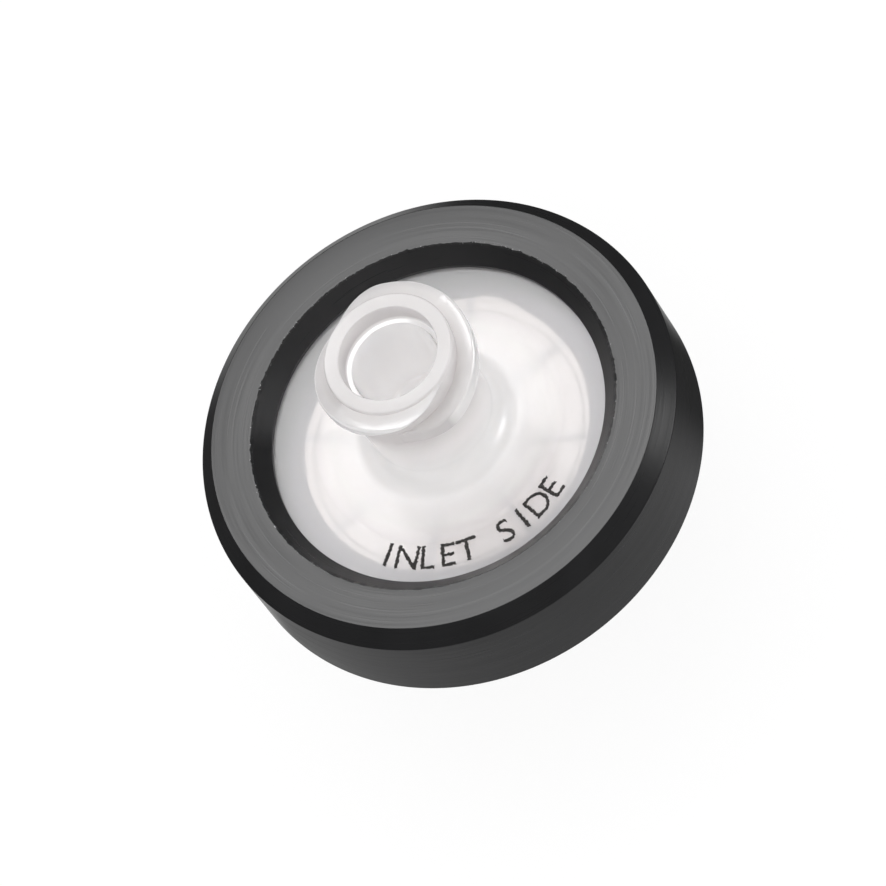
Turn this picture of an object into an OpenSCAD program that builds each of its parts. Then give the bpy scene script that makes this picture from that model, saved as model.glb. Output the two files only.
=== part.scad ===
// Syringe filter: a luer-lock inlet half and a luer-slip outlet half, with a membrane pinched
// between them, held together by a black ring moulded over both rims.
// Millimetres. +Z runs up the flow axis towards the inlet. The origin is the centre of the
// outlet tip's end face.

/* [Overmoulded ring] */
// Outer diameter of the ring
ring_d = 23.5; // [19:0.1:30]
// Wall of the ring outside the plates
ring_wall_t = 1.65; // [1:0.05:2.5]
// Radial width of the lips that hold the plates
lip_w = 1.45; // [0.6:0.05:1.8]
// Height of each lip above its plate
lip_h = 1.1; // [0.5:0.05:2]
// Radial width of the bevel from the lip's face to the window
lip_bevel_w = 0.8; // [0.2:0.05:1]
// Radial width of the ring's outer chamfers
ring_chamfer_w = 0.73; // [0.2:0.01:1]
// Height of the ring's outer chamfers
ring_chamfer_h = 0.85; // [0.2:0.01:1.2]
// Radius on the ring's worn edges
ring_edge_r = 0.08; // [0.02:0.01:0.15]

/* [Housing plates] */
// Thickness of the inlet plate
inlet_plate_t = 2.4; // [1.9:0.05:3.5]
// Thickness of the outlet plate
outlet_plate_t = 1.5; // [1.3:0.05:3]
// Chamfer on the buried edges of both flanges
flange_chamfer = 0.25; // [0.1:0.05:0.35]
// Thickness of the outlet plate's rim wall, which centres the inlet plate
rim_wall_t = 0.4; // [0.3:0.05:0.6]
// Height of the rim wall above the parting plane
rim_wall_h = 0.8; // [0.5:0.05:1]

/* [Membrane] */
// Radial width of the plates' seal outside the membrane
seal_w = 2.6; // [1.5:0.05:3]
// Radial width of the membrane's pinched rim
pinch_w = 0.4; // [0.2:0.05:0.8]
// Thickness of the membrane disc
membrane_t = 0.2; // [0.1:0.01:0.4]

/* [Flow chambers] */
// Height of the chamber over the membrane
chamber_h = 0.35; // [0.25:0.05:0.5]
// Height of the ring-shaped spreader ribs under the inlet plate
spreader_h = 0.2; // [0.05:0.05:0.25]
// Thickness of the spreader ribs
spreader_w = 0.35; // [0.2:0.05:0.5]
// Radial pitch of the spreader ribs
spreader_pitch = 0.85; // [0.7:0.05:1.2]
// Gap from the flared hole to the innermost spreader rib's middle
spreader_in_gap = 0.75; // [0.3:0.05:1.2]
// Least gap from the outermost spreader rib's middle to the chamber wall
spreader_out_gap = 0.8; // [0.3:0.05:1.2]
// Number of radial channels on each side of the membrane
channel_count = 8; // [4:1:12]
// Width of the radial channels
channel_w = 0.5; // [0.3:0.05:0.8]
// Depth of the radial channels into the inlet plate, above the chamber
channel_h = 0.2; // [0.05:0.05:0.4]
// Gap from the radial channels to the flared hole
channel_in_gap = 0.2; // [0.1:0.05:0.5]
// Gap from the radial channels to the chamber wall
channel_out_gap = 0.1; // [0.05:0.05:0.5]
// Angle of the first radial channel
channel_a = 4.4; // [0:0.1:45]
// Depth of the drain grooves under the membrane
groove_h = 0.45; // [0.2:0.05:0.8]
// Radial pitch of the drain grooves
groove_pitch = 0.9; // [0.6:0.05:1.2]
// Width of the support ribs that stand between the drain grooves
land_w = 0.35; // [0.2:0.05:0.5]

/* [Inlet luer lock] */
// Height of the inlet above its plate
inlet_h = 7.6; // [7:0.1:12]
// Diameter of the luer cone at its gauge plane
luer_d = 4.3; // [4.27:0.005:4.32]
// Luer taper, on diameter
luer_taper = 0.06; // [0.05:0.005:0.07]
// Radial width of the ledge where the lead-in meets the cone
ledge_w = 0.2; // [0.1:0.01:0.3]
// Fall of that ledge towards the cone
ledge_fall = 0.05; // [0.02:0.01:0.2]
// Radius in the corner of the ledge
ledge_r = 0.08; // [0.02:0.01:0.15]
// Radial draft of the lead-in, from the ledge to the mouth
lead_in_draft = 0.06; // [0.02:0.01:0.2]
// Depth of the lead-in, down to the gauge plane
lead_in_h = 1.2; // [0.6:0.1:2]
// Radius on the socket's mouth
mouth_r = 0.12; // [0.05:0.01:0.2]
// Height of the socket's floor above the plate
floor_h = 1.4; // [1:0.1:2]
// Diameter of the hole through the socket's floor
inlet_hole_d = 1.6; // [1:0.1:2.4]
// Diameter of the flared hole where it meets the chamber
flare_d = 5.2; // [3:0.1:5.8]
// Height of that flare
flare_h = 1.4; // [0.5:0.1:1.6]
// Core diameter under the thread
core_d = 6.26; // [6:0.02:6.7]
// Diameter of the neck where it meets the plate
neck_d = 5.95; // [5.6:0.05:6.2]
// Fillet between the neck and the plate
neck_fillet = 1.15; // [0.4:0.05:1.6]

/* [Luer thread] */
// Diameter over the thread's crests
thread_d = 7.83; // [7.2:0.01:8]
// Lead of the thread
thread_lead = 5; // [4:0.1:6]
// Number of starts
thread_starts = 2; // [1:1:2]
// Angle at which the first start leaves the rim
thread_a = 303; // [0:1:360]
// Turn of each start, from where it leaves the rim to where it dies away
thread_turn = 258; // [150:1:300]
// Turn over which the crest rises
run_in = 60; // [20:1:90]
// Turn over which the crest dies away
run_out = 65; // [20:1:90]
// Turn from the start to where the crest's lower edge leaves the rim
thread_delay = 22; // [5:1:40]
// Width of the crest
crest_w = 0.93; // [0.3:0.01:1.1]
// Fall of the upper flank from the core to the crest
upper_flank = 0.14; // [0.05:0.01:0.4]
// Rise of the lower flank from the core to the crest
lower_flank = 0.42; // [0.1:0.01:0.6]
// Fall of the thread's top below the rim, at full height
rim_fall = 0.25; // [0.1:0.01:0.5]
// Radius on the crest's edges
crest_r = 0.12; // [0.05:0.01:0.2]

/* [Outlet luer slip] */
// Length of the outlet below its plate
outlet_h = 10.1; // [9:0.1:15]
// Diameter of the slip cone at the tip
tip_d = 3.94; // [3.9:0.01:3.99]
// Radius on the tip's outer edge
tip_r = 0.25; // [0.1:0.05:0.4]
// Diameter of the drain bore
bore_d = 2; // [1.4:0.1:2.2]
// Length of the hub between the slip cone and the plate
hub_h = 2.5; // [1.5:0.1:4]
// Diameter of the hub
hub_d = 6.4; // [5.6:0.1:7.5]
// Radius on the hub's lower edge
hub_r = 0.5; // [0.2:0.05:0.8]
// Fillet between the hub and the plate
hub_fillet = 0.8; // [0.3:0.05:1]
// Diameter of the funnel that collects under the membrane
funnel_d = 4.2; // [3:0.1:5]
// Drop from the drain grooves' floor to the funnel's edge
funnel_drop = 0.1; // [0.05:0.05:0.3]
// Depth of that funnel, below its edge
funnel_h = 1; // [0.6:0.1:1.3]

/* [Hidden] */
$fn = 96;

// Levels, from the tip up; core_z is the foot of the straight core under the thread
plate_z = outlet_h;                      // underside of the outlet plate
part_z = plate_z + outlet_plate_t;       // parting plane of the two halves
seat_z = part_z - membrane_t;            // the seat that the membrane lies on
top_z = part_z + inlet_plate_t;          // top of the inlet plate
mouth_z = top_z + inlet_h;               // mouth of the inlet
ring_z0 = plate_z - lip_h;               // bottom face of the ring
ring_z1 = top_z + lip_h;                 // top face of the ring
ceiling_z = part_z + chamber_h;          // ceiling of the inlet chamber
floor_z = top_z + floor_h;               // floor of the luer socket
gauge_z = mouth_z - lead_in_h;           // gauge plane of the luer socket
slip_h = outlet_h - hub_h;               // length of the slip cone, from the tip to the hub
core_z = mouth_z - thread_lead * (thread_turn - thread_delay) / 360 - lower_flank;
rim_z = part_z + rim_wall_h;             // top of the outlet plate's rim wall

// Radii shared by pieces that meet
ring_r = ring_d / 2;
rim_r = ring_r - ring_wall_t;            // outside of the outlet plate's rim wall
flange_r = rim_r - rim_wall_t;           // outside of the inlet plate
window_r = flange_r - lip_w;
face_r = window_r + lip_bevel_w;         // inner edge of the ring's flat faces
membrane_r = flange_r - seal_w;
chamber_r = membrane_r - pinch_w;
core_r = core_d / 2;
crest_full_r = thread_d / 2;
gauge_r = luer_d / 2;
floor_r = gauge_r - luer_taper / 2 * (gauge_z - floor_z);
slip_root_r = tip_d / 2 + luer_taper / 2 * slip_h;

// Ribs and grooves, as many as fit between the middle and the chamber wall
overlap = 0.1;
fit = 0.01;
flare_r = flare_d / 2;
spreader_r = flare_r + spreader_in_gap;
spreader_count = 1 + floor((chamber_r - spreader_out_gap - spreader_r) / spreader_pitch + fit);
funnel_r = funnel_d / 2;
groove_w = groove_pitch - land_w;
groove_count = floor((chamber_r - funnel_r) / groove_pitch + fit);

// Thread build: angle of each step, and how far its root is buried in the core
thread_step = 4;
thread_bury = 0.25;
thread_cover = 0.04;
thinnest_crest = 0.12;

function unit(v) = v / norm(v);

// One corner b of an outline a-b-c, rounded to radius r
function corner(a, b, c, r) =
    let (u = unit(a - b), v = unit(c - b))
    r == 0 || abs(u * v) > 0.9999 ? [b] :
    let (half = acos(u * v) / 2,
         centre = b + unit(u + v) * r / sin(half),
         p = b + u * r / tan(half) - centre,
         q = b + v * r / tan(half) - centre,
         from = atan2(p.y, p.x),
         turn = (atan2(q.y, q.x) - from + 540) % 360 - 180,
         steps = max(2, ceil(abs(turn) / 15)))
    [for (i = [0 : steps]) let (a = from + turn * i / steps) centre + r * [cos(a), sin(a)]];

// An outline from [radius, height, corner radius] points
function outline(points) =
    let (n = len(points), flat = [for (p = points) [p.x, p.y]])
    [for (i = [0 : n - 1])
        each corner(flat[(i + n - 1) % n], flat[i], flat[(i + 1) % n], points[i][2])];

// A solid of revolution from [radius, height, corner radius] points
module turned(points) {
    rotate_extrude() polygon(outline(points));
}

// Radial channels from radius r0 to r1, between heights z0 and z1
module channels(r0, r1, z0, z1) {
    for (i = [0 : channel_count - 1])
        rotate(channel_a + i * 360 / channel_count)
            translate([r0, -channel_w / 2, z0]) cube([r1 - r0, channel_w, z1 - z0]);
}

// Smooth step from 0 to 1
function ease(t) = let (s = min(1, max(0, t))) s * s * (3 - 2 * s);

// Crest radius after turning t degrees from the start
function crest_at(t) =
    let (rise = ease(t / run_in), fall = ease((thread_turn - t) / run_out))
    core_r - thread_cover + (crest_full_r - core_r + thread_cover) * min(rise, fall);

// Section of the ridge after turning t degrees: its root is buried in the core
function ridge(t) =
    let (r = crest_at(t),
         share = (r - core_r) / (crest_full_r - core_r),
         inner = core_r - thread_bury,
         cap = mouth_z - thread_cover - rim_fall * max(0, share),
         helix = mouth_z - thread_lead * (t - thread_delay) / 360,
         high = min(cap, helix + crest_w),
         low = min(helix, high - thinnest_crest),
         soft = min(crest_r, (high - low) / 2.2, max(0.01, (r - inner) / 3)),
         root_high = min(mouth_z - thread_cover, high + upper_flank),
         root_low = low - lower_flank * max(0.2, share))
    [[inner, root_low], [r - soft, low], [r - 0.3 * soft, low + 0.3 * soft], [r, low + soft],
     [r, high - soft], [r - 0.3 * soft, high - 0.3 * soft], [r - soft, high], [inner, root_high]];

// One start of the thread, swept down the helix
module thread_ridge() {
    steps = ceil(thread_turn / thread_step);
    sides = len(ridge(0));
    points = [for (i = [0 : steps])
        let (t = thread_turn * i / steps)
        for (p = ridge(t)) [p.x * cos(-t), p.x * sin(-t), p.y]];
    sleeve = [for (i = [0 : steps - 1], j = [0 : sides - 1])
        let (a = i * sides + j, b = i * sides + (j + 1) % sides)
        each [[a, b + sides, b], [a, a + sides, b + sides]]];
    last = steps * sides;
    caps = [for (j = [1 : sides - 2])
        each [[0, j, j + 1], [last, last + j + 1, last + j]]];
    polyhedron(points, concat(sleeve, caps));
}

module inlet_body() {
    turned([
        [inlet_hole_d / 2, floor_z, 0],
        [inlet_hole_d / 2, ceiling_z + flare_h, 0],
        [flare_r, ceiling_z, 0],
        [chamber_r, ceiling_z, 0],
        [chamber_r, part_z, 0],
        [flange_r, part_z, 0],
        [flange_r, top_z - flange_chamfer, 0],
        [flange_r - flange_chamfer, top_z, 0],
        [neck_d / 2, top_z, neck_fillet],
        [core_r, core_z, 0],
        [core_r, mouth_z, 0],
        [gauge_r + ledge_w + lead_in_draft, mouth_z, mouth_r],
        [gauge_r + ledge_w, gauge_z + ledge_fall, ledge_r],
        [gauge_r, gauge_z, 0],
        [floor_r, floor_z, 0],
    ]);
}

module spreader_rings() {
    for (i = [0 : spreader_count - 1])
        let (r = spreader_r + i * spreader_pitch)
        turned([
            [r - spreader_w / 2, ceiling_z - spreader_h, 0],
            [r + spreader_w / 2, ceiling_z - spreader_h, 0],
            [r + spreader_w / 2, ceiling_z + overlap, 0],
            [r - spreader_w / 2, ceiling_z + overlap, 0],
        ]);
}

module inlet_housing() {
    color("ghostwhite") {
        difference() {
            union() {
                inlet_body();
                spreader_rings();
            }
            channels(flare_r + channel_in_gap, chamber_r - channel_out_gap,
                     part_z, ceiling_z + channel_h);
        }
        for (i = [0 : thread_starts - 1])
            rotate(thread_a + i * 360 / thread_starts) thread_ridge();
    }
}

module membrane() {
    color("white") translate([0, 0, seat_z]) cylinder(r = membrane_r, h = membrane_t);
}

module outlet_body() {
    turned([
        [bore_d / 2, 0, 0],
        [tip_d / 2, 0, tip_r],
        [slip_root_r, slip_h, 0],
        [hub_d / 2, slip_h, hub_r],
        [hub_d / 2, plate_z, hub_fillet],
        [rim_r - flange_chamfer, plate_z, 0],
        [rim_r, plate_z + flange_chamfer, 0],
        [rim_r, rim_z, 0],
        [flange_r, rim_z, 0],
        [flange_r, part_z, 0],
        [membrane_r, part_z, 0],
        [membrane_r, seat_z, 0],
        [funnel_r, seat_z, 0],
        [funnel_r, seat_z - groove_h - funnel_drop, 0],
        [bore_d / 2, seat_z - groove_h - funnel_drop - funnel_h, 0],
    ]);
}

// Ring-shaped grooves under the membrane, from the chamber wall inwards
module drain_grooves() {
    for (i = [0 : groove_count - 1])
        let (r = chamber_r - i * groove_pitch)
        turned([
            [r - groove_w, seat_z - groove_h, 0],
            [r, seat_z - groove_h, 0],
            [r, seat_z + overlap, 0],
            [r - groove_w, seat_z + overlap, 0],
        ]);
}

module outlet_housing() {
    color("ghostwhite") difference() {
        outlet_body();
        drain_grooves();
        channels(funnel_r - overlap, chamber_r - groove_w / 2, seat_z - groove_h, seat_z + overlap);
    }
}

module overmould_ring() {
    color("#1b1b1d") turned([
        [window_r, plate_z, 0],
        [face_r, ring_z0, ring_edge_r],
        [ring_r - ring_chamfer_w, ring_z0, ring_edge_r],
        [ring_r, ring_z0 + ring_chamfer_h, ring_edge_r],
        [ring_r, ring_z1 - ring_chamfer_h, ring_edge_r],
        [ring_r - ring_chamfer_w, ring_z1, ring_edge_r],
        [face_r, ring_z1, ring_edge_r],
        [window_r, top_z, 0],
        [flange_r - flange_chamfer, top_z, 0],
        [flange_r, top_z - flange_chamfer, 0],
        [flange_r, rim_z, 0],
        [rim_r, rim_z, 0],
        [rim_r, plate_z + flange_chamfer, 0],
        [rim_r - flange_chamfer, plate_z, 0],
    ]);
}

inlet_housing();
membrane();
outlet_housing();
overmould_ring();
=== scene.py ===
from functools import partial
from math import acos, atan2, ceil, cos, degrees, hypot, pi, radians, sin, tan

import bpy
from mathutils import Matrix, Vector, noise


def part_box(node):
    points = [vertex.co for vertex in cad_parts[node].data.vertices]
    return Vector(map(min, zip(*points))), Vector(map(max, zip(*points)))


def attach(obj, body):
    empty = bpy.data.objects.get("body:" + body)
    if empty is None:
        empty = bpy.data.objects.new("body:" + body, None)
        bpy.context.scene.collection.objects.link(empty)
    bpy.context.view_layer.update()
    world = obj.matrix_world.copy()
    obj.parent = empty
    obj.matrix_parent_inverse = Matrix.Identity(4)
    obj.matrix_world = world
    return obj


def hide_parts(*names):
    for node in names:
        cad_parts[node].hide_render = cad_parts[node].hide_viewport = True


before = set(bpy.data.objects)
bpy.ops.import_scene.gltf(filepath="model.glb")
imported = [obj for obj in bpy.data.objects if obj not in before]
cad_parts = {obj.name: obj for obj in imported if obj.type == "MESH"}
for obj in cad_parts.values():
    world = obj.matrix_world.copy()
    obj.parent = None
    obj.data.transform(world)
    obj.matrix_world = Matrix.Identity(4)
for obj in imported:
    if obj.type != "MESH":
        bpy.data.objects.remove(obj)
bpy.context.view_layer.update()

MM = 0.001

# ---------------------------------------------------------------------------------------------
# Camera. A long lens looks down on the inlet from 58 degrees above the ring's plane, and is
# rolled so that the flow axis leans up and to the left.
lens_length = 304.8      # in millimetres, as Blender takes it
view_distance = 352 * MM
view_elevation = radians(57.8)
view_roll = radians(36.2)
aim_right = 0.53 * MM
aim_down = 1.36 * MM

ring_top = Vector((0, 0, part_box("overmould_ring")[1].z))
back = Vector((0, -cos(view_elevation), sin(view_elevation)))
level_up = Vector((0, sin(view_elevation), cos(view_elevation)))
view_up = Matrix.Rotation(-view_roll, 3, back) @ level_up
view_right = view_up.cross(back)
lens = bpy.data.cameras.new("long_lens")
lens.lens = lens_length
lens.clip_start = 10 * MM
lens.clip_end = 5
camera = bpy.data.objects.new("camera", lens)
bpy.context.scene.collection.objects.link(camera)
camera.matrix_world = Matrix((view_right, view_up, back)).transposed().to_4x4()
camera.location = ring_top + back * view_distance + view_right * aim_right - view_up * aim_down
bpy.context.scene.camera = camera

# ---------------------------------------------------------------------------------------------
# Studio lamps. One large softbox hangs overhead, another fills the shadows from the front, and
# a small one stands low on the right.
bpy.context.scene.view_settings.view_transform = "Standard"
overhead = (0.08, 0.38, 1)


def softbox(name, direction, distance, width, height, radiance):
    lamp = bpy.data.lights.new(name, "AREA")
    lamp.shape = "RECTANGLE"
    lamp.size = width
    lamp.size_y = height
    lamp.energy = radiance * pi * width * height
    stand = bpy.data.objects.new(name, lamp)
    bpy.context.scene.collection.objects.link(stand)
    away = Vector(direction).normalized()
    stand.location = ring_top + away * distance
    stand.rotation_euler = away.to_track_quat("Z", "Y").to_euler()
    return stand


softbox("overhead_softbox", overhead, distance=0.42, width=0.34, height=0.31, radiance=0.6)
fill_softbox = softbox("fill_softbox", (-0.15, -0.7, 0.75), distance=0.45, width=0.3, height=0.3,
                       radiance=1.2)
fill_softbox.visible_glossy = False
fill_softbox.visible_transmission = False
softbox("side_softbox", (0.92, -0.33, 0.22), distance=0.35, width=0.13, height=0.11,
        radiance=3.0)

# ---------------------------------------------------------------------------------------------
# Room. It is white to the eye and even on matt faces, but glossy faces see a pale ceiling over
# dark walls, as in a studio that is hung with black cloth.
white = (1, 1, 1, 1)


def add_node(tree, kind, inputs, operation=None):
    """Adds a shader node. Each input is a plain value or the output of another node."""
    node = tree.nodes.new("ShaderNode" + kind)
    if operation:
        node.operation = operation
    for socket, value in inputs.items():
        if isinstance(value, bpy.types.NodeSocket):
            tree.links.new(value, node.inputs[socket])
        else:
            node.inputs[socket].default_value = value
    return node


def mix_shaders(tree, share, off, on):
    return add_node(tree, "MixShader", {"Fac": share, 1: off, 2: on}).outputs["Shader"]


def map_range(tree, value, from_min, from_max, to_min, to_max, ease="LINEAR"):
    """Carries a value from one range to another, and holds it at the ends."""
    node = add_node(tree, "MapRange", {"Value": value, "From Min": from_min, "From Max": from_max,
                                       "To Min": to_min, "To Max": to_max})
    node.interpolation_type = ease
    return node.outputs["Result"]


world = bpy.data.worlds.new("studio")
bpy.context.scene.world = world
world.use_nodes = True
world.node_tree.nodes.clear()
room_node = partial(add_node, world.node_tree)
room_mix = partial(mix_shaders, world.node_tree)
room_ray = room_node("LightPath", {}).outputs
room_place = room_node("TexCoord", {}).outputs["Generated"]
room_height = room_node("SeparateXYZ", {0: room_place}).outputs["Z"]
ceiling = map_range(world.node_tree, room_height, 0.75, 0.9, 0.02, 0.7, ease="SMOOTHSTEP")
mirrored_room = room_node("Background", {"Color": ceiling}).outputs[0]
matt_room = room_node("Background", {"Color": white, "Strength": 1.06}).outputs[0]
white_room = room_node("Background", {"Color": white}).outputs[0]
room = room_mix(room_ray["Is Glossy Ray"], matt_room, mirrored_room)
room = room_mix(room_ray["Is Transmission Ray"], room, white_room)
room = room_mix(room_ray["Transmission Depth"], room, white_room)
room = room_mix(room_ray["Is Camera Ray"], room, white_room)
room_node("OutputWorld", {"Surface": room})

# ---------------------------------------------------------------------------------------------
# Floor. A plain pale sheet, on which the filter stands and throws its shadow. Glossy faces see
# it in bright and dark sectors, as if boards and cloths lay round the filter, and light that
# has passed the clear plastic sees it dim.
floor_glow = 0.85        # share of its own light that it shows to the camera


def new_material(name):
    """A material whose nodes are all still to be added."""
    material = bpy.data.materials.new(name)
    material.use_nodes = True
    material.node_tree.nodes.clear()
    return material


def vector_math(tree, operation, *vectors):
    node = add_node(tree, "VectorMath", dict(enumerate(vectors)), operation)
    return node.outputs["Value" if operation == "LENGTH" else "Vector"]


bpy.ops.object.select_all(action="DESELECT")
bpy.ops.mesh.primitive_plane_add(size=2, location=(0, 0, 0))
floor = bpy.context.object
floor.name = "floor"
floor_paint = new_material("pale_floor")
floor_node = partial(add_node, floor_paint.node_tree)
floor_mix = partial(mix_shaders, floor_paint.node_tree)
floor_place = floor_node("TexCoord", {}).outputs["Object"]
floor_bearing = floor_node("TexGradient", {"Vector": floor_place})
floor_bearing.gradient_type = "RADIAL"


def bearing_ramp(stops):
    """Grey level of the floor by the bearing from the filter, in degrees."""
    node = floor_node("ValToRGB", {"Fac": floor_bearing.outputs["Fac"]})
    while len(node.color_ramp.elements) < len(stops):
        node.color_ramp.elements.new(0.5)
    for element, (bearing, level) in zip(node.color_ramp.elements, stops):
        element.position = bearing / 360 + 0.5
        element.color = (level, level, level, 1)
    return node.outputs["Color"]


floor_near = bearing_ramp([(-180, 0.45), (-32, 0.48), (-12, 0.06), (12, 0.04), (17, 0.25),
                           (24, 1), (34, 0.5), (50, 0.02), (66, 0.3), (76, 0.6), (120, 0.3),
                           (143, 0.12), (151, 0.8), (159, 1), (166, 0.4), (180, 0.45)])
floor_far = bearing_ramp([(-180, 0.02), (68, 0.02), (78, 0.6), (106, 0.6), (118, 0.05),
                          (180, 0.02)])
floor_reach = vector_math(floor_paint.node_tree, "LENGTH", floor_place)
floor_fade = map_range(floor_paint.node_tree, floor_reach, 20 * MM, 30 * MM, 0, 1,
                       ease="SMOOTHSTEP")
floor_level = floor_node("MixRGB", {"Fac": floor_fade, "Color1": floor_near, "Color2": floor_far})
floor_mirrored = floor_node("Emission", {"Color": floor_level.outputs["Color"]}).outputs[0]
floor_matt = floor_node("BsdfDiffuse", {"Color": (0.93, 0.93, 0.93, 1)}).outputs[0]
floor_white = floor_node("Emission", {"Color": white}).outputs[0]
floor_dim = floor_node("BsdfDiffuse", {"Color": (0.15, 0.13, 0.17, 1)}).outputs[0]
floor_ray = floor_node("LightPath", {}).outputs
floor_seen = floor_mix(floor_ray["Is Glossy Ray"], floor_matt, floor_mirrored)
floor_seen = floor_mix(floor_ray["Is Transmission Ray"], floor_seen, floor_dim)
floor_seen = floor_mix(floor_ray["Transmission Depth"], floor_seen, floor_dim)
floor_seen = floor_mix(floor_ray["Is Camera Ray"], floor_seen,
                       floor_mix(floor_glow, floor_matt, floor_white))
floor_node("OutputMaterial", {"Surface": floor_seen})
floor.data.materials.append(floor_paint)

# ---------------------------------------------------------------------------------------------
# Outlet housing. The lower half of the shell, moulded in natural polypropylene: a luer-slip
# nozzle under a plate, with drain grooves on its top and a low rim wall that centres the upper
# half.
gap = 0.01               # between faces that touch in the real part
tip_r = 1.97
slip_h = 7.6
luer_taper = 0.03        # growth of the radius along the cone
slip_root_r = tip_r + luer_taper * slip_h
hub_r = 3.2
bore_r = 1.0
plate_z = 10.1
rim_r = 10.1
rim_wall_z = 12.4
flange_r = 9.7
flange_chamfer = 0.25
part_z = 11.6
seat_z = 11.4
pocket_r = 7.5           # leaves the membrane some play
chamber_r = 6.7
groove_floor_z = 10.95
groove_pitch = 0.9
land_w = 0.35
funnel_r = 2.1
funnel_edge_z = groove_floor_z - 0.1
funnel_foot_z = groove_floor_z - 1.1
channel_count = 8
channel_turn = radians(4.4)
channel_w = 0.5
channel_end_r = 6.425    # in the middle of the outermost groove
arc_step = 9             # degrees from point to point on a rounded corner
support = 0.03           # from a rounded corner to the point that keeps the face beside it flat
weld = 1e-4              # points that are nearer than this become one
crease = radians(32)     # a wider turn between two faces stays a sharp edge


def rounded_outline(corners):
    """Points of a closed outline from [radius, height, corner radius] corners."""
    points = []
    for i, (r, z, size) in enumerate(corners):
        here = Vector((r, z))
        before = Vector(corners[i - 1][:2]) - here
        after = Vector(corners[(i + 1) % len(corners)][:2]) - here
        u, v = before.normalized(), after.normalized()
        if size == 0 or abs(u.dot(v)) > 0.9999:
            points.append(here)
            continue
        half = acos(u.dot(v)) / 2
        centre = here + (u + v).normalized() * size / sin(half)
        reach = size / tan(half)
        p, q = here + u * reach - centre, here + v * reach - centre
        start = atan2(p.y, p.x)
        turn = (atan2(q.y, q.x) - start + 3 * pi) % (2 * pi) - pi
        steps = max(3, ceil(abs(degrees(turn)) / (arc_step if size > 0.2 else 2 * arc_step)))
        if before.length > reach + 3 * support:
            points.append(here + u * (reach + support))
        for k in range(steps + 1):
            a = start + turn * k / steps
            points.append(centre + size * Vector((cos(a), sin(a))))
        if after.length > reach + 3 * support:
            points.append(here + v * (reach + support))
    return points


def weld_all():
    """In edit mode, merges the points that meet, and turns every face outwards."""
    bpy.ops.mesh.select_all(action="SELECT")
    bpy.ops.mesh.remove_doubles(threshold=weld)
    bpy.ops.mesh.normals_make_consistent(inside=False)


def turned(name, points, steps=224):
    """A solid of revolution, in millimetres: draws the outline edge by edge, then winds it."""
    bpy.ops.object.select_all(action="DESELECT")
    bpy.ops.mesh.primitive_plane_add(size=1, location=(0, 0, 0))
    piece = bpy.context.object
    piece.name = name
    bpy.ops.object.mode_set(mode="EDIT")
    bpy.ops.mesh.merge(type="CENTER")
    bpy.ops.transform.translate(value=(points[0].x, 0, points[0].y))
    for start, end in zip(points, points[1:]):
        step = end - start
        bpy.ops.mesh.extrude_region_move(TRANSFORM_OT_translate={"value": (step.x, 0, step.y)})
    # an edge between the last point and the first closes the outline
    bpy.ops.mesh.select_mode(type="VERT")
    bpy.ops.mesh.select_all(action="DESELECT")
    bpy.ops.object.mode_set(mode="OBJECT")
    for end in (0, -1):
        piece.data.vertices[end].select = True
    bpy.ops.object.mode_set(mode="EDIT")
    bpy.ops.mesh.edge_face_add()
    bpy.ops.object.mode_set(mode="OBJECT")
    winding = piece.modifiers.new("winding", "SCREW")
    winding.angle = 2 * pi
    winding.steps = winding.render_steps = steps
    winding.use_merge_vertices = True
    winding.merge_threshold = weld
    bpy.ops.object.modifier_apply(modifier=winding.name)
    bpy.ops.object.mode_set(mode="EDIT")
    weld_all()
    bpy.ops.object.mode_set(mode="OBJECT")
    return piece


def cut_or_join(piece, tool, operation):
    """Cuts the tool out of the piece, or joins it on, and deletes the tool."""
    bpy.ops.object.select_all(action="DESELECT")
    piece.select_set(True)
    bpy.context.view_layer.objects.active = piece
    change = piece.modifiers.new(operation.lower(), "BOOLEAN")
    change.operation = operation
    change.solver = "MANIFOLD"
    change.object = tool
    bpy.ops.object.modifier_apply(modifier=change.name)
    bpy.data.objects.remove(tool)


def finish_piece(piece, material, node):
    """Brings a piece from millimetres to metres, smooths it and ties it to its CAD node."""
    bpy.ops.object.select_all(action="DESELECT")
    piece.select_set(True)
    bpy.context.view_layer.objects.active = piece
    piece.scale = (MM, MM, MM)
    bpy.ops.object.transform_apply(location=True, rotation=True, scale=True)
    bpy.ops.object.shade_smooth_by_angle(angle=crease)
    piece.data.materials.clear()
    piece.data.materials.append(material)
    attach(piece, "root")
    if node:
        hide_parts(node)


def channel_cutters(r0, r1, z0, z1):
    """Bars in a star, that cut the radial channels."""
    bpy.ops.object.select_all(action="DESELECT")
    bpy.ops.mesh.primitive_cube_add(size=1, location=(0, 0, 0))
    bars = bpy.context.object
    bpy.ops.object.mode_set(mode="EDIT")
    bpy.ops.transform.resize(value=(r1 - r0, channel_w, z1 - z0), center_override=(0, 0, 0))
    bpy.ops.transform.translate(value=((r0 + r1) / 2, 0, (z0 + z1) / 2))
    bpy.ops.mesh.spin(steps=channel_count, dupli=True, angle=2 * pi, center=(0, 0, 0),
                      axis=(0, 0, 1))
    weld_all()
    bpy.ops.object.mode_set(mode="OBJECT")
    bars.rotation_euler.z = channel_turn
    bpy.ops.object.transform_apply(rotation=True)
    return bars


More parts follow.
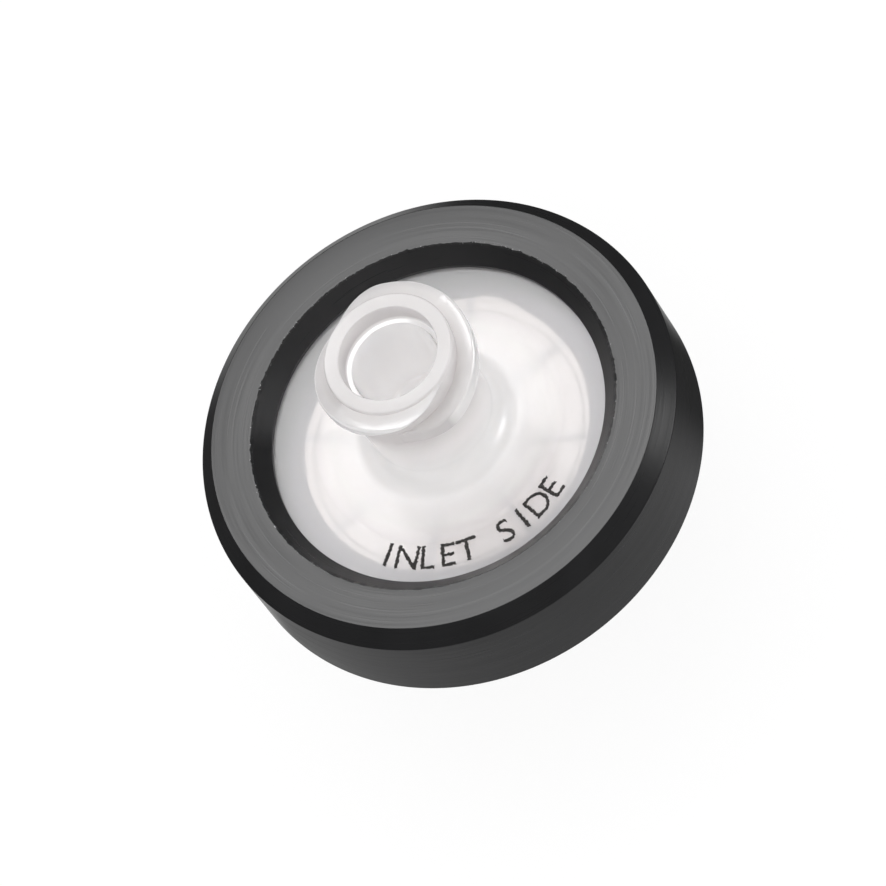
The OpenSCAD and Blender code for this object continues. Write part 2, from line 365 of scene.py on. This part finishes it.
plastic_ior = 1.49
milky = new_material("milky_polypropylene")
milky_node = partial(add_node, milky.node_tree)
milky_mix = partial(mix_shaders, milky.node_tree)
milky_range = partial(map_range, milky.node_tree)
milky_vector = partial(vector_math, milky.node_tree)
milky_place = milky_node("TexCoord", {}).outputs["Object"]
milky_height = milky_node("SeparateXYZ", {0: milky_place}).outputs["Z"]
milky_radius = milky_vector("LENGTH", milky_vector("MULTIPLY", milky_place, (1, 1, 0)))
mottle = milky_node("TexNoise", {"Vector": milky_place, "Scale": 350, "Detail": 4})
milky_tint = milky_node("MixRGB", {"Fac": mottle.outputs["Fac"],
                                   "Color1": (0.985, 0.948, 0.945, 1),
                                   "Color2": (0.975, 0.95, 0.955, 1)})
# the core is milkier and duller than the plates, the core pin left the bore smooth, and the
# thread is polished too
in_core = milky_range(milky_radius, 3.4 * MM, 6.2 * MM, 1, 0)
below_mouth = milky_range(milky_height, 20.5 * MM, 20.7 * MM, 1, 0)
in_bore = milky_range(milky_radius, 2.38 * MM, 2.5 * MM, below_mouth, 0)
above_neck = milky_range(milky_height, 15.4 * MM, 15.8 * MM, 0, 1)
on_thread = milky_range(milky_radius, 3.5 * MM, 3.75 * MM, 0, above_neck)
polished = milky_range(in_bore, 0, 1, on_thread, 1)
milky_rough = milky_range(in_bore, 0, 1, milky_range(in_core, 0, 1, 0.2, 0.26), 0.12)
# painted shade darkens the base colour from the neck up to the mouth; a painted highlight brings
# the thread's crest back to full white, and the bore keeps its plain colour
painted_shade_and_crest_highlight = milky_range(milky_height, 15.5 * MM, 18.5 * MM, 1, 0.52)
painted_shade_and_crest_highlight = milky_range(milky_radius, 3.82 * MM, 3.9 * MM, painted_shade_and_crest_highlight, 1)
painted_shade_and_crest_highlight = milky_range(in_bore, 0, 1, painted_shade_and_crest_highlight, 1)


def milky_skin(clear, shade):
    """Part of the light goes through this plastic, and part scatters inside it."""
    shaded = milky_node("VectorMath", {0: milky_tint.outputs["Color"], "Scale": shade}, "SCALE")
    return milky_node("BsdfPrincipled", {
        "Base Color": shaded.outputs["Vector"],
        "Roughness": milky_rough,
        "IOR": plastic_ior,
        "Transmission Weight": clear,
        "Subsurface Weight": 1.0,
        "Subsurface Radius": (1.0, 0.97, 0.94),
        "Subsurface Scale": 4 * MM,
        "Coat Weight": polished,
        "Coat Roughness": 0.06,
        "Coat IOR": 1.65,
    }).outputs["BSDF"]


# the core's skin carries the painted shade and the painted crest highlight in its base colour
milky_front = milky_mix(in_core, milky_skin(0.71, 0.95), milky_skin(0.3, painted_shade_and_crest_highlight))
# light that is already inside the plastic meets the frosted inner side of its faces
milky_side = milky_node("NewGeometry", {}).outputs["Backfacing"]
milky_inside = milky_node("BsdfGlass", {"Color": white, "Roughness": 0.6, "IOR": plastic_ior})
milky_faces = milky_mix(milky_side, milky_front, milky_inside.outputs["BSDF"])
# rays from the lamps pass, a little weakened, so that they reach the membrane
milky_shadow = milky_node("LightPath", {}).outputs["Is Shadow Ray"]
milky_lit = milky_node("BsdfTransparent", {"Color": (0.62, 0.62, 0.62, 1)}).outputs["BSDF"]
milky_node("OutputMaterial", {"Surface": milky_mix(milky_shadow, milky_faces, milky_lit)})

outlet_corners = [
    (bore_r, 0, 0.06), (tip_r, 0, 0.25), (slip_root_r, slip_h, 0.1), (hub_r, slip_h, 0.5),
    (hub_r, plate_z, 0.8), (rim_r - flange_chamfer - gap, plate_z, 0.05),
    (rim_r - gap, plate_z + flange_chamfer, 0.05), (rim_r - gap, rim_wall_z - gap, 0.04),
    (flange_r + gap, rim_wall_z - gap, 0.04), (flange_r + gap, part_z, 0.04),
    (pocket_r, part_z, 0.04), (pocket_r, seat_z, 0.04),
]
groove_r = chamber_r
while groove_r - groove_pitch > funnel_r:
    inner_r = groove_r - groove_pitch + land_w
    outlet_corners += [(groove_r, seat_z, 0.03), (groove_r, groove_floor_z, 0.06),
                       (inner_r, groove_floor_z, 0.06), (inner_r, seat_z, 0.03)]
    groove_r -= groove_pitch
outlet_corners += [(funnel_r, seat_z, 0.03), (funnel_r, funnel_edge_z, 0),
                   (bore_r, funnel_foot_z, 0.1)]

outlet = turned("outlet_shell", rounded_outline(outlet_corners))
drain_cutters = channel_cutters(funnel_r - 0.1, channel_end_r, groove_floor_z, seat_z + 0.1)
cut_or_join(outlet, drain_cutters, "DIFFERENCE")
finish_piece(outlet, milky, "outlet_housing")

# ---------------------------------------------------------------------------------------------
# Membrane. A disc of white microporous sheet, punched out and laid on the drain lands, with its
# rim pinched between the two halves.
membrane_r = 7.1
membrane_edge = 0.05     # pressed bevel round the disc
off_centre = 0.24
torn_side = radians(40)


def number_math(tree, operation, *numbers):
    return add_node(tree, "Math", dict(enumerate(numbers)), operation).outputs["Value"]


def two_tones(tree, value, low, low_color, high, high_color):
    """A colour that goes from one tone to another as the value goes from low to high."""
    node = add_node(tree, "ValToRGB", {"Fac": value})
    for element, position, color in zip(node.color_ramp.elements, (low, high),
                                        (low_color, high_color)):
        element.position = position
        element.color = color
    return node.outputs["Color"]


sheet = new_material("microporous_sheet")
sheet_node = partial(add_node, sheet.node_tree)
sheet_math = partial(number_math, sheet.node_tree)
sheet_place = sheet_node("TexCoord", {}).outputs["Object"]
fibres = sheet_node("TexNoise", {"Vector": sheet_place, "Scale": 2600, "Detail": 6,
                                 "Distortion": 1.5}).outputs["Fac"]
fibre_tone = two_tones(sheet.node_tree, fibres, 0.3, (0.875, 0.84, 0.825, 1),
                       0.62, (0.925, 0.89, 0.875, 1))
# painted shade: faint darker spokes on the sheet stand in for the shade of the channels over the
# disc: the sine of half their number times the bearing is nought on every one, and they narrow
# towards the middle
sheet_split = sheet_node("SeparateXYZ", {0: sheet_place}).outputs
sheet_bearing = sheet_math("ARCTAN2", sheet_split["Y"], sheet_split["X"])
sheet_turn = sheet_math("MULTIPLY", sheet_math("SUBTRACT", sheet_bearing, channel_turn),
                        channel_count / 2)
sheet_swing = sheet_math("ABSOLUTE", sheet_math("SINE", sheet_turn))
sheet_reach = vector_math(sheet.node_tree, "LENGTH", sheet_place)
painted_spoke_shade = map_range(sheet.node_tree, sheet_math("MULTIPLY", sheet_swing, sheet_reach),
                     0.88 * MM, 1.68 * MM, 1, 0)
# the fibres' grain, with the painted spoke shade laid over it
fibre_grain_and_spoke_shade = sheet_node("MixRGB", {"Fac": painted_spoke_shade, "Color1": fibre_tone,
                                   "Color2": (0.68, 0.67, 0.69, 1)}).outputs["Color"]
fibre_relief = sheet_node("Bump", {"Height": fibres, "Strength": 0.5, "Distance": 0.01 * MM})
sheet_skin = sheet_node("BsdfPrincipled", {"Base Color": fibre_grain_and_spoke_shade, "Roughness": 0.85,
                                           "Normal": fibre_relief.outputs["Normal"]})
sheet_node("OutputMaterial", {"Surface": sheet_skin.outputs["BSDF"]})

disc_z0, disc_z1 = seat_z + gap, part_z - gap
membrane = turned("filter_membrane", [
    Vector((0, disc_z0)), Vector((membrane_r - membrane_edge, disc_z0)),
    Vector((membrane_r, disc_z0 + membrane_edge)), Vector((membrane_r, disc_z1 - membrane_edge)),
    Vector((membrane_r - membrane_edge, disc_z1)), Vector((0, disc_z1)),
])
# the punch leaves an uneven rim, and the disc lies a little off centre, torn on one side
for vertex in membrane.data.vertices:
    if hypot(vertex.co.x, vertex.co.y) >= membrane_r - 0.2:
        a = atan2(vertex.co.y, vertex.co.x)
        around = Vector((cos(a), sin(a), 0))
        torn = max(0, cos(a - torn_side)) ** 40
        uneven = 0.05 * noise.noise(around * 4) + 0.03 * noise.noise(around * 17)
        uneven += torn * (0.3 + 0.35 * noise.noise(around * 40))
        vertex.co += uneven * around
    vertex.co.y += off_centre
finish_piece(membrane, sheet, "membrane")

# ---------------------------------------------------------------------------------------------
# Inlet housing. The upper half of the shell in the same plastic: a female luer-lock socket on a
# thick plate, with spreader ribs and radial channels over the membrane. The double-start luer
# thread leaves the rim on two sides and dies away on the neck.
top_z = 14.0
mouth_z = 21.6
gauge_z = mouth_z - 1.2
socket_floor_z = top_z + 1.4
mouth_r = 2.41
lead_in_r = 2.36
lead_in_z = gauge_z + 0.055
gauge_r = 2.15
socket_floor_r = 2.0
hole_r = 0.8
flare_z = part_z + 1.75
flare_r = 2.6
ceiling_z = part_z + 0.16
rib_foot_z = ceiling_z - 0.1
rib_first_r = 3.35
rib_pitch = 0.85
rib_half_w = 0.175
neck_r = 2.975
neck_fillet = 1.15
core_r = 3.13
crest_r = 3.915
lead = 5.0
thread_turn = 258        # degrees from the start of a ridge to its end
run_in = 60
run_out = 65
thread_delay = 22
crest_w = 0.93
crest_edge = 0.13
upper_flank = 0.14
lower_flank = 0.42
thread_bed = 0.25        # how far the thread's section reaches into the core
core_z = mouth_z - lead * (thread_turn - thread_delay) / 360 - lower_flank

inlet_corners = [
    (hole_r, socket_floor_z, 0.08), (hole_r, flare_z, 0.1), (flare_r, ceiling_z, 0.1),
]
for i in range(4):
    rib_in = rib_first_r + rib_pitch * i - rib_half_w
    rib_out = rib_first_r + rib_pitch * i + rib_half_w
    inlet_corners += [(rib_in, ceiling_z, 0.04), (rib_in, rib_foot_z, 0.04),
                      (rib_out, rib_foot_z, 0.04), (rib_out, ceiling_z, 0.04)]
inlet_corners += [
    (chamber_r, ceiling_z, 0.04), (chamber_r, part_z + gap, 0.04),
    (flange_r - gap, part_z + gap, 0.04), (flange_r - gap, top_z - flange_chamfer, 0.05),
    (flange_r - flange_chamfer - gap, top_z, 0.05), (neck_r, top_z, neck_fillet),
    (core_r, core_z, 0.1), (core_r, mouth_z, 0.1), (mouth_r, mouth_z, 0.05),
    (lead_in_r, lead_in_z, 0.03), (gauge_r, gauge_z, 0.03),
    (socket_floor_r, socket_floor_z, 0.15),
]
inlet = turned("inlet_shell", rounded_outline(inlet_corners))
feed_cutters = channel_cutters(flare_r + 0.2, chamber_r - 0.1, part_z, ceiling_z + 0.2)
cut_or_join(inlet, feed_cutters, "DIFFERENCE")


def eased(t):
    t = min(1, max(0, t))
    return t * t * (3 - 2 * t)


def thread_section(turn):
    """Radius and height of the 14 corners of one start's section, after a turn in degrees."""
    # the crest rises out of the core at the rim and sinks back into it at the end
    share = min(eased(turn / run_in), eased((thread_turn - turn) / run_out))
    root = core_r - 0.04
    crest = root + (crest_r - root) * share
    share = max(0, (crest - core_r) / (crest_r - core_r))
    # the ridge follows the helix, but stays below the rim and keeps some thickness
    helix = mouth_z - lead * (turn - thread_delay) / 360
    top = min(mouth_z - 0.16 - 0.13 * share, helix + crest_w)
    low = min(helix, top - 0.12)
    soft = min(crest_edge, (top - low) / 2.2, max(0.01, (crest - core_r + 0.25) / 3))
    root_top = min(mouth_z - 0.13, top + upper_flank)
    root_low = low - lower_flank * max(0.2, share)
    # both edges of the crest are rounded, and a small foot leads each flank into the core
    arc = [(sin(radians(a)), cos(radians(a))) for a in (0, 22.5, 45, 67.5, 90)]
    below = [(crest - soft * (1 - s), low + soft * (1 - c)) for s, c in arc]
    above = [(crest - soft * (1 - s), top - soft * (1 - c)) for s, c in reversed(arc)]
    foot = 0.16 * share
    return ([(core_r - thread_bed, root_low - foot), (core_r + 0.01, root_low - foot * 0.8)]
            + [(core_r + foot * 0.6 + 0.01, root_low + 0.25 * (low - root_low))] + below + above
            + [(core_r + foot * 0.3 + 0.01, root_top), (core_r - thread_bed, root_top)])


def thread_start(angle):
    """One start: a section wound down the core by the Screw modifier, then shaped at its ends."""
    corners = len(thread_section(0))
    bpy.ops.object.select_all(action="DESELECT")
    bpy.ops.mesh.primitive_circle_add(vertices=corners, radius=0.5, location=(0, 0, 0))
    ridge = bpy.context.object
    bpy.ops.object.mode_set(mode="EDIT")
    bpy.ops.transform.rotate(value=pi / 2, orient_axis="X", center_override=(0, 0, 0))
    bpy.ops.transform.translate(value=(core_r, 0, mouth_z))
    bpy.ops.object.mode_set(mode="OBJECT")
    winding = ridge.modifiers.new("winding", "SCREW")
    winding.angle = radians(-thread_turn)
    winding.screw_offset = -lead * thread_turn / 360
    winding.steps = winding.render_steps = thread_turn // 2 + 1
    winding.use_merge_vertices = False
    bpy.ops.object.modifier_apply(modifier=winding.name)
    for vertex in ridge.data.vertices:
        step, corner = divmod(vertex.index, corners)
        turn = thread_turn * step / (len(ridge.data.vertices) // corners - 1)
        r, z = thread_section(turn)[corner]
        a = radians(angle - turn)
        vertex.co = (r * cos(a), r * sin(a), z)
    bpy.ops.object.mode_set(mode="EDIT")
    bpy.ops.mesh.select_all(action="SELECT")
    bpy.ops.mesh.fill_holes(sides=0)
    bpy.ops.mesh.normals_make_consistent(inside=False)
    bpy.ops.object.mode_set(mode="OBJECT")
    return ridge


for angle in (303, 123):
    cut_or_join(inlet, thread_start(angle), "UNION")
finish_piece(inlet, milky, "inlet_housing")

# ---------------------------------------------------------------------------------------------
# Overmoulded ring. Black polypropylene moulded round both rims, which locks the halves together;
# its faces and bevels are turned, so they carry fine rings.
ring_r = 11.75
ring_z0 = 9.0
ring_z1 = 15.1
bevel_w = 0.73
bevel_h = 0.85
face_outer_r = ring_r - bevel_w
face_r = 9.05
crown = 0.02
window_r = 8.25
window_bevel_h = 0.86
window_slope = window_bevel_h / (face_r - window_r)
torn_w = 0.09            # width of the torn strip along the inner edge of the face
tool_lines_per_mm = 16

black = new_material("black_polypropylene")
black_node = partial(add_node, black.node_tree)
black_math = partial(number_math, black.node_tree)
black_vector = partial(vector_math, black.node_tree)
black_range = partial(map_range, black.node_tree)


def black_noise(vector, scale, detail):
    noise_node = black_node("TexNoise", {"Vector": vector, "Scale": scale, "Detail": detail})
    return noise_node.outputs["Fac"]


# the tool's lines: noise read by radius and height, which drifts slowly round the ring
black_place = black_node("TexCoord", {}).outputs["Object"]
black_height = black_node("SeparateXYZ", {0: black_place}).outputs["Z"]
black_flat = black_vector("MULTIPLY", black_place, (1, 1, 0))
black_radius = black_vector("LENGTH", black_flat)
black_profile = black_node("CombineXYZ", {
    "X": black_math("MULTIPLY", black_radius, tool_lines_per_mm / MM),
    "Y": black_math("MULTIPLY", black_height, tool_lines_per_mm / MM),
})
black_drift = black_vector("MULTIPLY", black_vector("NORMALIZE", black_flat), (1.4, 1.4, 0))
black_turn = black_vector("ADD", black_profile.outputs[0], black_drift)
tool_lines = black_noise(black_turn, 1.0, 3)
broad_lines = black_noise(black_turn, 0.16, 2)
relief = black_math("ADD", tool_lines, black_math("MULTIPLY", broad_lines, 2.0))
tool_relief = black_node("Bump", {"Height": relief, "Strength": 0.8, "Distance": 0.0015 * MM})
# the window bevel is duller than the rest
black_gloss = black_range(black_radius, (face_r - 0.1) * MM, (face_r - 0.02) * MM, 0.31, 0.5)
# crumbs and bruises along the inner edge of the face
from_edge = black_math("ABSOLUTE", black_math("SUBTRACT", black_radius, face_r * MM))
near_edge = black_range(from_edge, 0.02 * MM, torn_w * MM, 1, 0)
edge_dust = black_range(black_noise(black_place, 9000, 2), 0.66, 0.72, 0, 1)
face_tone = black_node("MixRGB", {"Fac": black_noise(black_place, 420, 5),
                                  "Color1": (0.009, 0.009, 0.0095, 1),
                                  "Color2": (0.015, 0.015, 0.016, 1)})
dusty_tone = black_node("MixRGB", {"Fac": black_math("MULTIPLY", near_edge, edge_dust),
                                   "Color1": face_tone.outputs["Color"],
                                   "Color2": (0.3, 0.3, 0.31, 1)})
black_skin = black_node("BsdfPrincipled", {
    "Base Color": dusty_tone.outputs["Color"],
    "Roughness": black_range(tool_lines, 0.3, 0.7, 0.26, 0.4),
    "IOR": 1.52,
    "Specular IOR Level": black_gloss,
    "Normal": tool_relief.outputs["Normal"],
})
black_node("OutputMaterial", {"Surface": black_skin.outputs["BSDF"]})

face_corners = []
for i in range(1, 8):
    face_corners.append((face_outer_r - (face_outer_r - face_r) * i / 8,
                         ring_z1 - crown * (i / 4 - 1) ** 2, 0))
ring = turned("black_ring", rounded_outline([
    (window_r, plate_z - gap, 0.03), (face_r, ring_z0, 0.06), (face_outer_r, ring_z0, 0.06),
    (ring_r, ring_z0 + bevel_h, 0.07), (ring_r, ring_z1 - bevel_h, 0.07),
    (face_outer_r, ring_z1 - crown, 0.05), *face_corners, (face_r, ring_z1 - crown, 0.04),
    (face_r - 0.13, ring_z1 - 0.13 * window_slope, 0),
    (face_r - 0.17, ring_z1 - 0.17 * window_slope, 0),
    (window_r, ring_z1 - window_bevel_h, 0.04), (window_r, top_z + gap, 0.02),
    (flange_r - flange_chamfer, top_z + gap, 0.03),
    (flange_r + gap, top_z - flange_chamfer, 0.03), (flange_r + gap, rim_wall_z + gap, 0.03),
    (rim_r, rim_wall_z + gap, 0.03), (rim_r, plate_z + flange_chamfer, 0.03),
    (rim_r - flange_chamfer, plate_z - gap, 0.03),
]), steps=720)
# the tool tore the inner edge of the face here and there
for vertex in ring.data.vertices:
    reach = hypot(vertex.co.x, vertex.co.y)
    if vertex.co.z > ring_z1 - 0.12 and abs(reach - face_r) < torn_w:
        around = Vector((vertex.co.x, vertex.co.y, 0)) / reach
        torn = 0.04 * noise.noise(around * 22) + 0.07 * noise.noise(around * 90)
        vertex.co += torn * (1 - abs(reach - face_r) / torn_w) * around
finish_piece(ring, black, "overmould_ring")

# ---------------------------------------------------------------------------------------------
# Gloss lamps. Two more softboxes that only light the gloss of some pieces: one behind the first
# brings up the ring and the socket, and a small one on the right puts a glint on the thread.


def gloss_softbox(name, pieces, direction, distance, width, height, radiance):
    """A softbox that only lights the gloss of the pieces given."""
    lamp = softbox(name, direction, distance, width, height, radiance)
    lamp.visible_diffuse = False
    lamp.visible_transmission = False
    glossy_pieces = bpy.data.collections.new(name + "_pieces")
    for piece in pieces:
        glossy_pieces.objects.link(piece)
    lamp.light_linking.receiver_collection = glossy_pieces


gloss_softbox("gloss_softbox", (ring, inlet), overhead, distance=0.46, width=0.37, height=0.34,
              radiance=3.55)
gloss_softbox("glint_softbox", (inlet,), (0.88, -0.42, 0.36), distance=0.4, width=0.2,
              height=0.12, radiance=8)

# ---------------------------------------------------------------------------------------------
# Print. A short line of generic black lettering is pad printed on the plate, round its near edge,
# and reads from outside. The ink has spread, so that its edges are ragged.
letters = "INLET SIDE"
print_r = 6.9
print_height = 1.22
print_from, print_to = 217, 291
capital_share = 0.7      # height of a capital in a text of size 1
ink_grain = 0.02
ink_lift = 0.002
ink_film = 0.012

ink = new_material("black_print_ink")
ink_node = partial(add_node, ink.node_tree)
ink_place = ink_node("TexCoord", {}).outputs["Object"]
ink_cover = ink_node("TexNoise", {"Vector": ink_place, "Scale": 9000, "Detail": 3})
ink_tone = two_tones(ink.node_tree, ink_cover.outputs["Fac"], 0.45, (0.012, 0.011, 0.01, 1),
                     0.75, (0.05, 0.044, 0.04, 1))
ink_skin = ink_node("BsdfPrincipled", {"Base Color": ink_tone, "Roughness": 0.5})
ink_node("OutputMaterial", {"Surface": ink_skin.outputs["BSDF"]})

printed = []
for place, letter in enumerate(letters):
    if letter == " ":
        continue
    bpy.ops.object.select_all(action="DESELECT")
    bpy.ops.object.text_add(location=(0, 0, 0))
    mark = bpy.context.object
    mark.data.body = letter
    mark.data.align_x = "CENTER"
    mark.data.extrude = 2 * ink_grain
    mark.data.size = print_height / capital_share
    bpy.ops.object.convert(target="MESH")
    mark = bpy.context.object
    grain = mark.modifiers.new("grain", "REMESH")
    grain.mode = "VOXEL"
    grain.voxel_size = ink_grain
    bpy.ops.object.modifier_apply(modifier=grain.name)
    a = radians(print_from + (print_to - print_from) * place / (len(letters) - 1) + 90)
    for vertex in mark.data.vertices:
        spot = Vector((vertex.co.x, vertex.co.y, 0)) * 9 + Vector((7 * place, 0, 0))
        x = vertex.co.x + 0.06 * noise.noise(spot) + 0.04 * noise.noise(spot * 2.5)
        y = vertex.co.y + 0.06 * noise.noise(spot + Vector((0, 0, 9))) - print_height / 2 - print_r
        z = top_z + ink_lift + (ink_film if vertex.co.z > 0 else 0)
        vertex.co = (x * cos(a) - y * sin(a), x * sin(a) + y * cos(a), z)
    printed.append(mark)
bpy.ops.object.select_all(action="DESELECT")
for mark in printed:
    mark.select_set(True)
bpy.context.view_layer.objects.active = printed[0]
bpy.ops.object.join()
lettering = bpy.context.object
lettering.name = "printed_line"
finish_piece(lettering, ink, None)
